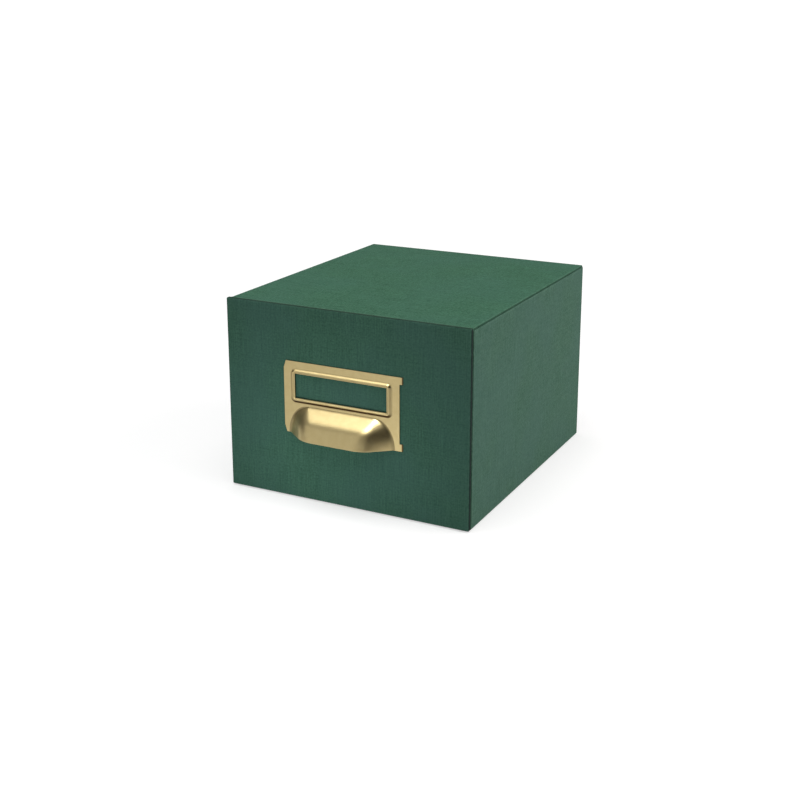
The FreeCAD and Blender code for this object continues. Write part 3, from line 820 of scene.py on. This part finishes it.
@dataclass(frozen=True)
class PressedCup:
    """The pull's cup: drawn out of the plate, creased and open below. Lengths are in mm.

    The lip's rows give their height as a share of its rounding, and their place in the sheet.
    """

    middle_x: float = -2.0
    panel_y: float = -91.175
    plate_y: float = -91.775
    bottom_z: float = 44.6
    height: float = 18.6
    reach: float = 13.6
    top_depth: float = 0.35
    lip_half: float = 37.2
    top_half: float = 23.5
    front_half: float = 21.0
    corner_round: float = 7.5
    crease_height: float = 0.57
    crease_reach: float = 0.8
    crease_round: float = 0.13
    sheet: float = 0.6
    lip_round: float = 0.16
    lip: tuple[tuple[float, float], ...] = ((1.0, 0.0), (0.3, 0.08), (0.0, 0.27), (0.0, 0.73),
                                            (0.3, 0.92), (1.0, 1.0))
    front_turn: float = 0.35
    end_turn: float = 0.75
    root_off: float = 0.01
    root_round: float = 0.18
    root_reach: float = 0.9
    # Painted shade along the cup's root, where it meets the plate.
    root_shade: float = 0.5
    cut_reach: float = 0.0001
    cut_margin: float = 0.001
    columns: int = 72
    levels: int = 56

    def profile(self, rise: float) -> float:
        """How far the front stands out, before scaling.

        Args:
            rise: The share of the height.

        Returns:
            A number that grows with the depth, with the crease rounded.
        """
        front = 1 - (1 - self.crease_reach) / self.crease_height * rise
        top = self.crease_reach / (1 - self.crease_height) * (1 - rise)
        return (front + top) / 2 - math.hypot((front - top) / 2, self.crease_round)

    def depth(self, rise: float) -> float:
        """How far the front stands off the panel.

        Args:
            rise: The share of the height.

        Returns:
            The depth.
        """
        low, high = self.profile(0.0), self.profile(1.0)
        share = (self.profile(rise) - high) / (low - high)
        return self.top_depth + (self.reach - self.top_depth) * share

    def across(self, turn: float, rise: float, narrowing: float) -> tuple[float, float]:
        """A point of a level section, from its middle to its end.

        Args:
            turn: How far along the half section, 0 at its middle and 1 at its end.
            rise: The section's share of the height.
            narrowing: What is taken off at the end.

        Returns:
            How far the point is from the middle, and how far off the panel.
        """
        depth = self.depth(rise)
        share = depth / self.reach
        spread = (self.lip_half - self.top_half) * math.sqrt(max(0.0, 1 - rise * rise))
        end = Vector((self.top_half + spread + self.top_depth - narrowing, 0.0))
        inset = (self.top_half - self.front_half) * share
        corner = Vector((self.top_half - inset - narrowing, depth))
        length = self.corner_round * share
        first = corner - Vector((length, 0.0))
        last = corner + (end - corner).normalized() * length
        if turn < self.front_turn:
            point = Vector((0.0, depth)).lerp(first, turn / self.front_turn)
        elif turn > self.end_turn:
            point = last.lerp(end, (turn - self.end_turn) / (1 - self.end_turn))
        else:
            bend = (turn - self.front_turn) / (self.end_turn - self.front_turn)
            point = first.lerp(corner, bend).lerp(corner.lerp(last, bend), bend)
        return (point.x, point.y)

    def point(self, column: float, level: float, inner: bool) -> Vector:
        """A point of the outer or inner face.

        Args:
            column: -1 at the left end to 1 at the right end.
            level: The height above the lip.
            inner: Whether it is on the inner face.

        Returns:
            The point, in metres.
        """
        back, drop = (self.sheet, self.sheet / 2) if inner else (0.0, 0.0)
        rise = min(1.0, (level + drop) / self.height)
        aside, out = self.across(abs(column), rise, drop)
        if not inner:
            floor = self.panel_y - self.plate_y + self.root_off
            out = (out + floor) / 2 + math.hypot((out - floor) / 2, self.root_round / 2)
        x = self.middle_x + math.copysign(aside, column)
        return Vector((x, self.panel_y - out + back, self.bottom_z + level)) * MM

    def rows(self) -> list[tuple[float, float]]:
        """The rows up the outer face, over the lip and up the inner one.

        Returns:
            Each row's height above the lip and its place in the sheet, 0 outside to 1 inside.
        """
        heights = [self.height * math.sin(math.pi / 2 * step / self.levels)
                   for step in range(self.levels + 1)]
        face = [height for height in heights if height > self.lip_round]
        lip = [(self.lip_round * share, inward) for share, inward in self.lip]
        drop = self.sheet / 2
        inside = [(height - drop, 1.0) for height in face if height - drop > self.lip_round]
        return [(height, 0.0) for height in reversed(face)] + lip + inside

    def form(self, mesh: bmesh.types.BMesh, painted_shade: bmesh.types.BMLayerItem) -> None:
        """Lays the cup in a bmesh as one bent grid, with painted shade along its root.

        Args:
            mesh: The bmesh.
            painted_shade: Its layer of painted shade.
        """
        rows = self.rows()
        grid = bmesh.ops.create_grid(mesh, x_segments=self.columns, y_segments=len(rows) - 1,
                                     size=1.0)
        for vert in grid["verts"]:
            level, inward = rows[round((1 - vert.co.y) / 2 * (len(rows) - 1))]
            column = vert.co.x
            vert.co = self.point(column, level, False).lerp(self.point(column, level, True),
                                                            inward)
            # Painted shade fading up the cup from where it meets the plate.
            off_plate = self.plate_y - vert.co.y / MM
            near = min(1.0, max(0.0, 1.0 - off_plate / self.root_reach))
            vert[painted_shade] = self.root_shade * near

    def clear(self, mesh: bmesh.types.BMesh) -> None:
        """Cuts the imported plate's own cup and frame off flush with the plate.

        Args:
            mesh: The bmesh.
        """
        whole = mesh.verts[:] + mesh.edges[:] + mesh.faces[:]
        bmesh.ops.bisect_plane(mesh, geom=whole, dist=self.cut_reach * MM,
                               plane_no=(0.0, -1.0, 0.0),
                               plane_co=(0.0, self.plate_y * MM, 0.0))
        front = (self.plate_y - self.cut_margin) * MM
        cut = [face for face in mesh.faces if face.calc_center_median().y < front]
        bmesh.ops.delete(mesh, geom=cut, context="FACES")


@dataclass(frozen=True)
class RaisedFrame:
    """The label frame: a bead swept round the window. Lengths are in mm.

    Its section runs from the plate over the bead to the window's edge and back underneath.
    Each point is how far it lies outside the window, how far it stands off the plate and how
    much painted shade it can take. The painted shade is strongest where the metal faces down,
    and its least share lies where the metal faces up.
    """

    middle: tuple[float, float] = (-2.0, 76.0)
    half: tuple[float, float] = (32.35, 8.0)
    plate_y: float = -91.775
    side_share: float = 1.08
    corner_steps: int = 10
    ridge: float = 1.1
    least_share: float = 0.1
    level_share: float = 0.25
    seam_reach: float = 0.001
    section: tuple[tuple[float, float, float], ...] = (
        (3.4, 0.01, 0.0), (3.15, 0.012, 0.75), (2.9, 0.015, 1.0), (2.68, 0.03, 1.0),
        (2.55, 0.09, 1.0), (2.46, 0.2, 1.0), (2.3, 0.42, 1.0), (1.95, 0.83, 0.97),
        (1.68, 1.1, 0.8), (1.5, 1.22, 0.2), (1.3, 1.285, 0.0), (1.1, 1.3, 0.0),
        (0.92, 1.27, 0.0), (0.78, 1.19, 0.3), (0.66, 1.06, 0.5), (0.55, 0.93, 0.4),
        (0.46, 0.87, 0.2), (0.34, 0.84, 0.0), (0.12, 0.83, 0.0), (0.03, 0.8, 0.0),
        (0.0, 0.74, 0.0), (0.0, 0.28, 0.3), (0.1, 0.24, 0.3), (1.3, 0.24, 0.3),
        (1.9, 0.0, 0.3), (1.9, -0.3, 0.3))

    def form(self, mesh: bmesh.types.BMesh, painted_shade: bmesh.types.BMLayerItem) -> None:
        """Lays the bead in a bmesh as one grid bent into a ring.

        Args:
            mesh: The bmesh.
            painted_shade: Its layer of painted shade.
        """
        arc = self.corner_steps + 1
        count, last = 4 * arc, len(self.section) - 1
        grid = bmesh.ops.create_grid(mesh, x_segments=count, y_segments=last, size=1.0)
        corners = ((1, 1), (-1, 1), (-1, -1), (1, -1))
        for vert in grid["verts"]:
            corner, step = divmod(round((vert.co.x + 1) / 2 * count) % count, arc)
            turn = math.radians(90 * (corner + step / self.corner_steps))
            out, rise, taken = self.section[round((vert.co.y + 1) / 2 * last)]
            # Painted shade: darker where the bead faces down, least where it faces up.
            down = -math.sin(turn) if out > self.ridge else math.sin(turn)
            share = self.level_share + (1 - self.level_share) * down
            vert[painted_shade] = taken * max(self.least_share, share)
            across, up = corners[corner]
            x = self.middle[0] + across * self.half[0] + out * self.side_share * math.cos(turn)
            z = self.middle[1] + up * self.half[1] + out * math.sin(turn)
            vert.co = Vector((x, self.plate_y - rise, z)) * MM
        bmesh.ops.remove_doubles(mesh, verts=grid["verts"], dist=self.seam_reach * MM)


@dataclass
class Drawer:
    """The tray, its overlay front and the pull. The ears' edge is in mm."""

    effects: Effects
    papers: dict[str, bpy.types.Material]
    boards: tuple[str, ...] = ("tray_bottom_board", "tray_left_board", "tray_right_board",
                               "tray_front_board", "tray_back_board", "panel_board")
    ear_edge_x: float = 40.3
    # Painted dark reflection on the ears past the plate's right edge.
    ear_shade: float = 0.8
    pull_angle: float = 30.0

    def build(self) -> None:
        """Covers the drawer's front, wraps the tray and fixes the pull."""
        covering = Covering(self.effects, FRONT_SHADED_CLOTH)
        covering.cover("panel_cloth", "front_cover", Body.DRAWER,
                       [FoldedEdge(FRONT_EDGE_SHADED_CLOTH, (0,)), FoldedEdge(FRONT_TOP_SHADED_CLOTH, (2,))])
        for board in self.boards:
            paint_node(board, self.papers["board"])
        for node in ("tray_wrap_paper", "tray_runner_sheet", "panel_backing"):
            paint_node(node, self.papers["dark"])
        paint_node("tray_floor_liner", self.papers["lining"])
        paint_node("tray_corner_stays", self.papers["tape"])
        self.build_pull()

    def build_pull(self) -> None:
        """Makes the brass pull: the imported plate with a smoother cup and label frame."""
        cup = PressedCup()
        mesh = merged_copy("pull_plate")
        painted_shade = mesh.verts.layers.float.new(PAINTED_SHADE_LAYER)
        cup.clear(mesh)
        for vert in mesh.verts:
            # Painted dark reflection on the ears past the plate's right edge.
            vert[painted_shade] = self.ear_shade * float(vert.co.x > self.ear_edge_x * MM)
        cup.form(mesh, painted_shade)
        RaisedFrame().form(mesh, painted_shade)
        soften(mesh, self.pull_angle)
        piece = make_piece("brass_pull", mesh, Body.DRAWER,
                           SatinBrass().make(self.effects), ["pull_plate"])
        even_normals(piece)


@dataclass(frozen=True)
class Lamp:
    """A square soft lamp that looks at the object."""

    name: str
    place: tuple[float, float, float]
    size: float
    power: float
    tint: tuple[float, float, float] = (1.0, 1.0, 1.0)
    mirrored: bool = True


@dataclass(frozen=True)
class Screen:
    """An upright screen that only shiny surfaces reflect.

    Its bearing is in degrees from the front to the right; its distance, half width and height
    and the height of its middle are in metres.
    """

    name: str
    bearing: float
    away: float
    half: tuple[float, float]
    middle: float
    level: float


@dataclass
class Studio:
    """A white table and soft light, with the camera at the photograph's viewing angle."""

    lens: float = 56.35
    shift: float = -0.1
    camera_place: tuple[float, float, float] = (0.3641, -0.7271, 0.3172)
    yaw: float = -27.093
    pitch: float = 14.906
    sensor: float = 36.0
    floor_size: float = 60.0
    floor_shade: Colour = (0.55, 0.55, 0.55, 1.0)
    near: float = 0.3
    far: float = 1.6
    near_glow: float = 0.5
    far_glow: float = 0.9
    gloss_share: float = 0.4
    sky_light: float = 0.42
    sky_shade: Colour = (1.0, 1.0, 1.0, 1.0)
    wall_level: float = 0.25
    wall_rise: float = 0.09
    aim: tuple[float, float, float] = (0.0, 0.0, 0.06)
    lamps: tuple[Lamp, ...] = (
        Lamp("overhead", (-0.09, -0.2, 1.1), 1.0, 7.2),
        Lamp("front_top", (0.02, -0.68, 0.9), 0.22, 0.9),
        Lamp("right", (1.2, 0.35, 0.65), 1.2, 13.0, tint=(1.0, 0.94, 0.93)),
        Lamp("low_front", (-0.025, -0.2, 0.012), 0.06, 0.115, mirrored=False),
    )
    screens: tuple[Screen, ...] = (
        Screen("front_left_screen", -33.0, 1.2, (0.55, 0.4), 0.42, 0.7),
        Screen("front_right_screen", 54.0, 0.45, (0.36, 0.31), 0.25, 0.0),
        Screen("left_screen", -80.0, 0.7, (0.35, 0.25), 0.2, 0.12),
        Screen("highlight_card", -1.0, 0.51, (0.16, 0.14), 0.97, 24.0),
    )

    def build(self) -> None:
        """Builds the floor, the light and the camera."""
        bpy.context.scene.view_settings.view_transform = "Standard"
        self.build_floor()
        self.build_screens()
        self.build_sky()
        self.build_lights()
        self.build_camera()

    def seen_rays(self, hand: Nodes, gloss: float = 1.0) -> bpy.types.NodeSocket:
        """A mask of the rays that show the background.

        Args:
            hand: The hand on the tree.
            gloss: How much of it shiny surfaces see.

        Returns:
            The mask's socket: 1 on camera and glass rays, and the share on gloss rays.
        """
        ray = hand.add("ShaderNodeLightPath")
        seen = hand.math("MAXIMUM", ray.outputs["Is Camera Ray"],
                         ray.outputs["Is Transmission Ray"])
        mirrored = hand.math("MULTIPLY", ray.outputs["Is Glossy Ray"], gloss)
        return hand.math("MAXIMUM", seen, mirrored)

    def add_stage_sheet(self, name: str, half: Sequence[float], place: Matrix,
                        material: bpy.types.Material) -> bpy.types.Object:
        """Adds a flat sheet that isn't part of the object.

        Args:
            name: The sheet's name.
            half: Its half length and half width, in metres.
            place: Where it lies.
            material: Its material.

        Returns:
            The sheet.
        """
        mesh = bmesh.new()
        bmesh.ops.create_grid(mesh, x_segments=1, y_segments=1, size=1.0)
        bmesh.ops.scale(mesh, vec=(half[0], half[1], 1.0), verts=mesh.verts)
        mesh.transform(place)
        data = bpy.data.meshes.new(name)
        mesh.to_mesh(data)
        mesh.free()
        data.materials.append(material)
        sheet = bpy.data.objects.new(name, data)
        bpy.context.scene.collection.objects.link(sheet)
        return sheet

    def build_floor(self) -> None:
        """Lays a white floor that keeps the object's shadow."""
        material = bpy.data.materials.new("white_table")
        hand = emptied(material)
        matte = hand.add("ShaderNodeBsdfDiffuse")
        hand.put(matte.inputs["Color"], self.floor_shade)
        glow = hand.add("ShaderNodeEmission")
        away = hand.add("ShaderNodeVectorMath", operation="LENGTH")
        hand.put(away.inputs[0], hand.add("ShaderNodeTexCoord").outputs["Object"])
        level = hand.span(away.outputs["Value"], self.near, self.far, self.near_glow,
                          self.far_glow)
        seen = self.seen_rays(hand, self.gloss_share)
        hand.put(glow.inputs["Strength"], hand.math("MULTIPLY", seen, level))
        both = hand.add("ShaderNodeAddShader")
        hand.put(both.inputs[0], matte.outputs[0])
        hand.put(both.inputs[1], glow.outputs[0])
        output = hand.add("ShaderNodeOutputMaterial")
        hand.put(output.inputs["Surface"], both.outputs[0])
        self.add_stage_sheet("floor", (self.floor_size / 2,) * 2, Matrix.Identity(4), material)

    def build_screens(self) -> None:
        """Stands the screens round the object."""
        for screen in self.screens:
            material = bpy.data.materials.new(screen.name)
            hand = emptied(material)
            glow = hand.add("ShaderNodeEmission")
            hand.put(glow.inputs["Strength"], screen.level)
            output = hand.add("ShaderNodeOutputMaterial")
            hand.put(output.inputs["Surface"], glow.outputs[0])
            turn = Matrix.Rotation(math.radians(screen.bearing), 4, "Z")
            stand = Matrix.Translation((0.0, -screen.away, screen.middle))
            place = turn @ stand @ Matrix.Rotation(math.radians(90.0), 4, "X")
            sheet = self.add_stage_sheet(screen.name, screen.half, place, material)
            sheet.visible_camera = False
            sheet.visible_diffuse = False
            sheet.visible_shadow = False
            sheet.visible_transmission = False

    def build_sky(self) -> None:
        """Makes the soft light from all round, seen as white behind the object."""
        world = bpy.data.worlds.new("soft_sky")
        bpy.context.scene.world = world
        hand = emptied(world)
        light = hand.add("ShaderNodeBackground")
        hand.put(light.inputs["Strength"], self.sky_light)
        seen_sky = hand.add("ShaderNodeBackground")
        height = hand.add("ShaderNodeSeparateXYZ")
        hand.put(height.inputs[0], hand.add("ShaderNodeTexCoord").outputs["Generated"])
        wall = hand.span(height.outputs[2], 0.0, self.wall_rise, 1.0, self.wall_level)
        ray = hand.add("ShaderNodeLightPath")
        shown = hand.math("MAXIMUM", wall, ray.outputs["Is Camera Ray"])
        hand.put(seen_sky.inputs["Strength"], shown)
        for background in (light, seen_sky):
            hand.put(background.inputs["Color"], self.sky_shade)
        mixed = hand.add("ShaderNodeMixShader")
        hand.put(mixed.inputs[0], self.seen_rays(hand))
        hand.put(mixed.inputs[1], light.outputs[0])
        hand.put(mixed.inputs[2], seen_sky.outputs[0])
        output = hand.add("ShaderNodeOutputWorld")
        hand.put(output.inputs["Surface"], mixed.outputs[0])

    def build_lights(self) -> None:
        """Hangs the lamps."""
        for lamp in self.lamps:
            data = bpy.data.lights.new(lamp.name, "AREA")
            data.shape = "SQUARE"
            data.size = lamp.size
            data.energy = lamp.power
            data.color = lamp.tint
            holder = bpy.data.objects.new(lamp.name, data)
            holder.visible_camera = False
            holder.visible_glossy = lamp.mirrored
            holder.location = lamp.place
            toward = Vector(self.aim) - Vector(lamp.place)
            holder.rotation_euler = toward.to_track_quat("-Z", "Y").to_euler()
            bpy.context.scene.collection.objects.link(holder)

    def build_camera(self) -> None:
        """Sets the camera at the photograph's viewing angle."""
        data = bpy.data.cameras.new("camera")
        data.lens = self.lens
        data.sensor_width = self.sensor
        data.shift_y = self.shift
        camera = bpy.data.objects.new("camera", data)
        yaw, pitch = math.radians(self.yaw), math.radians(self.pitch)
        ahead = Vector((math.sin(yaw) * math.cos(pitch), math.cos(yaw) * math.cos(pitch),
                        -math.sin(pitch)))
        camera.location = self.camera_place
        camera.rotation_euler = ahead.to_track_quat("-Z", "Y").to_euler()
        bpy.context.scene.collection.objects.link(camera)
        bpy.context.scene.camera = camera


def main() -> None:
    """Builds the case, the drawer and the studio."""
    logging.basicConfig(level=logging.INFO, format="%(message)s")
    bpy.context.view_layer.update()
    effects = Effects.build()
    papers = {"board": GREY_BOARD.make(effects), "dark": DARK_PAPER.make(effects),
              "lining": LINING_PAPER.make(effects), "tape": GUMMED_TAPE.make(effects)}
    Case(effects, papers).build()
    Drawer(effects, papers).build()
    Studio().build()
    bpy.context.view_layer.update()


if __name__ == "__main__":
    main()
